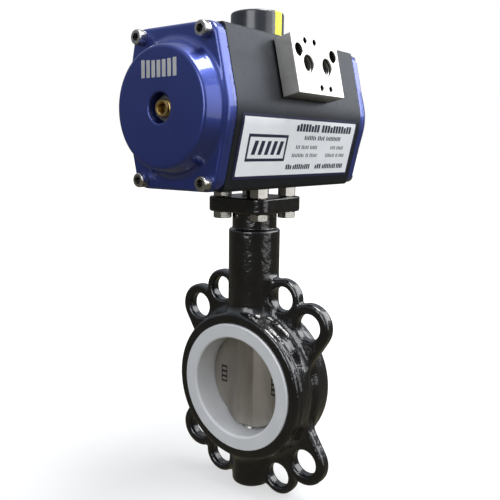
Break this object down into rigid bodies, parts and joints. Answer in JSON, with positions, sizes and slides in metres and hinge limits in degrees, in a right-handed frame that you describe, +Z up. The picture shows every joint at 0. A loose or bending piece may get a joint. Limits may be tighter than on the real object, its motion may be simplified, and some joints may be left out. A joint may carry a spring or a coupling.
{
  "type": "rotary pneumatic actuator on a wafer butterfly valve",
  "caption": "Double-acting rack-and-pinion pneumatic actuator with position indicator, bolted and keyed to a lined wafer butterfly valve.",
  "frame": {"origin": "centre of the valve's bore, where the stem's axis crosses the pipe's axis", "axes": "+X along the pipe's axis and the actuator's cylinder; +Z up the stem; the air manifold and the label face -Y"},
  "size_m": [0.204, 0.1436, 0.3715],
  "materials": {
    "body_anodised": "hard-anodised, satin black",
    "cap_blue": "gloss paint",
    "casting_black": "gloss epoxy over a sand casting",
    "bare_aluminium": "machined",
    "stainless": "bright stainless",
    "cast_stainless": "bead-blasted",
    "steel": "zinc-plated",
    "ptfe": "satin white",
    "rubber": "matt",
    "acetal": "moulded",
    "brass": "yellow-passivated",
    "indicator_black": "satin moulded",
    "indicator_yellow": "satin moulded",
    "label_film": "printed film"
  },
  "bodies": {
    "housing": {"actuator_body": "body_anodised", "pinion_bush_bottom": "acetal", "pinion_bush_top": "acetal", "thrust_washer": "acetal", "label_plate": "label_film", "manifold_block": "bare_aluminium", "manifold_gasket": "rubber", "valve_body": "casting_black", "seat_liner": "ptfe", "stem_bush_lower": "brass", "stem_bush_upper": "brass", "stem_seal": "rubber", "packing_gland": "stainless", "bottom_plug": "steel", "end_cap_left": "cap_blue", "end_cap_seal_left": "rubber", "stop_screw_left": "brass", "stop_lock_nut_left": "steel", "manifold_screw_left": "stainless", "end_cap_screw_left_1": "stainless", "end_cap_screw_left_2": "stainless", "end_cap_screw_left_3": "stainless", "end_cap_screw_left_4": "stainless", "end_cap_right": "cap_blue", "end_cap_seal_right": "rubber", "stop_screw_right": "brass", "stop_lock_nut_right": "steel", "manifold_screw_right": "stainless", "end_cap_screw_right_1": "stainless", "end_cap_screw_right_2": "stainless", "end_cap_screw_right_3": "stainless", "end_cap_screw_right_4": "stainless", "mounting_bolt_1": "stainless", "spacer_nut_1": "stainless", "mounting_bolt_2": "stainless", "spacer_nut_2": "stainless", "mounting_bolt_3": "stainless", "spacer_nut_3": "stainless", "mounting_bolt_4": "stainless", "spacer_nut_4": "stainless"},
    "pinion": {"pinion": "steel", "pinion_seal_bottom": "rubber", "pinion_seal_top": "rubber", "retaining_ring": "steel", "indicator_cap": "indicator_black", "indicator_stripe": "indicator_yellow", "indicator_screw": "stainless"},
    "closure": {"valve_disc": "cast_stainless", "valve_stem": "stainless"},
    "piston_left": {"piston_left": "bare_aluminium", "piston_seal_left": "rubber", "rack_guide_left": "acetal"},
    "piston_right": {"piston_right": "bare_aluminium", "piston_seal_right": "rubber", "rack_guide_right": "acetal"}
  },
  "joints": [
    {"name": "pinion_turn", "type": "hinge", "parent": "housing", "child": "pinion", "pos_m": [0, 0, 0.21], "axis": [0, 0, 1], "range_deg": [0, 90]},
    {"name": "closure_turn", "type": "hinge", "parent": "housing", "child": "closure", "pos_m": [0, 0, 0], "axis": [0, 0, 1], "range_deg": [0, 90]},
    {"name": "piston_left_slide", "type": "slide", "parent": "housing", "child": "piston_left", "axis": [-1, 0, 0], "range_m": [0, 0.02364]},
    {"name": "piston_right_slide", "type": "slide", "parent": "housing", "child": "piston_right", "axis": [1, 0, 0], "range_m": [0, 0.02364]}
  ],
  "couplings": [
    {"joint": "pinion_turn", "follows": "piston_left_slide", "rad_per_m": 66.445},
    {"joint": "closure_turn", "follows": "piston_left_slide", "rad_per_m": 66.445},
    {"joint": "piston_right_slide", "follows": "piston_left_slide", "ratio": 1}
  ]
}
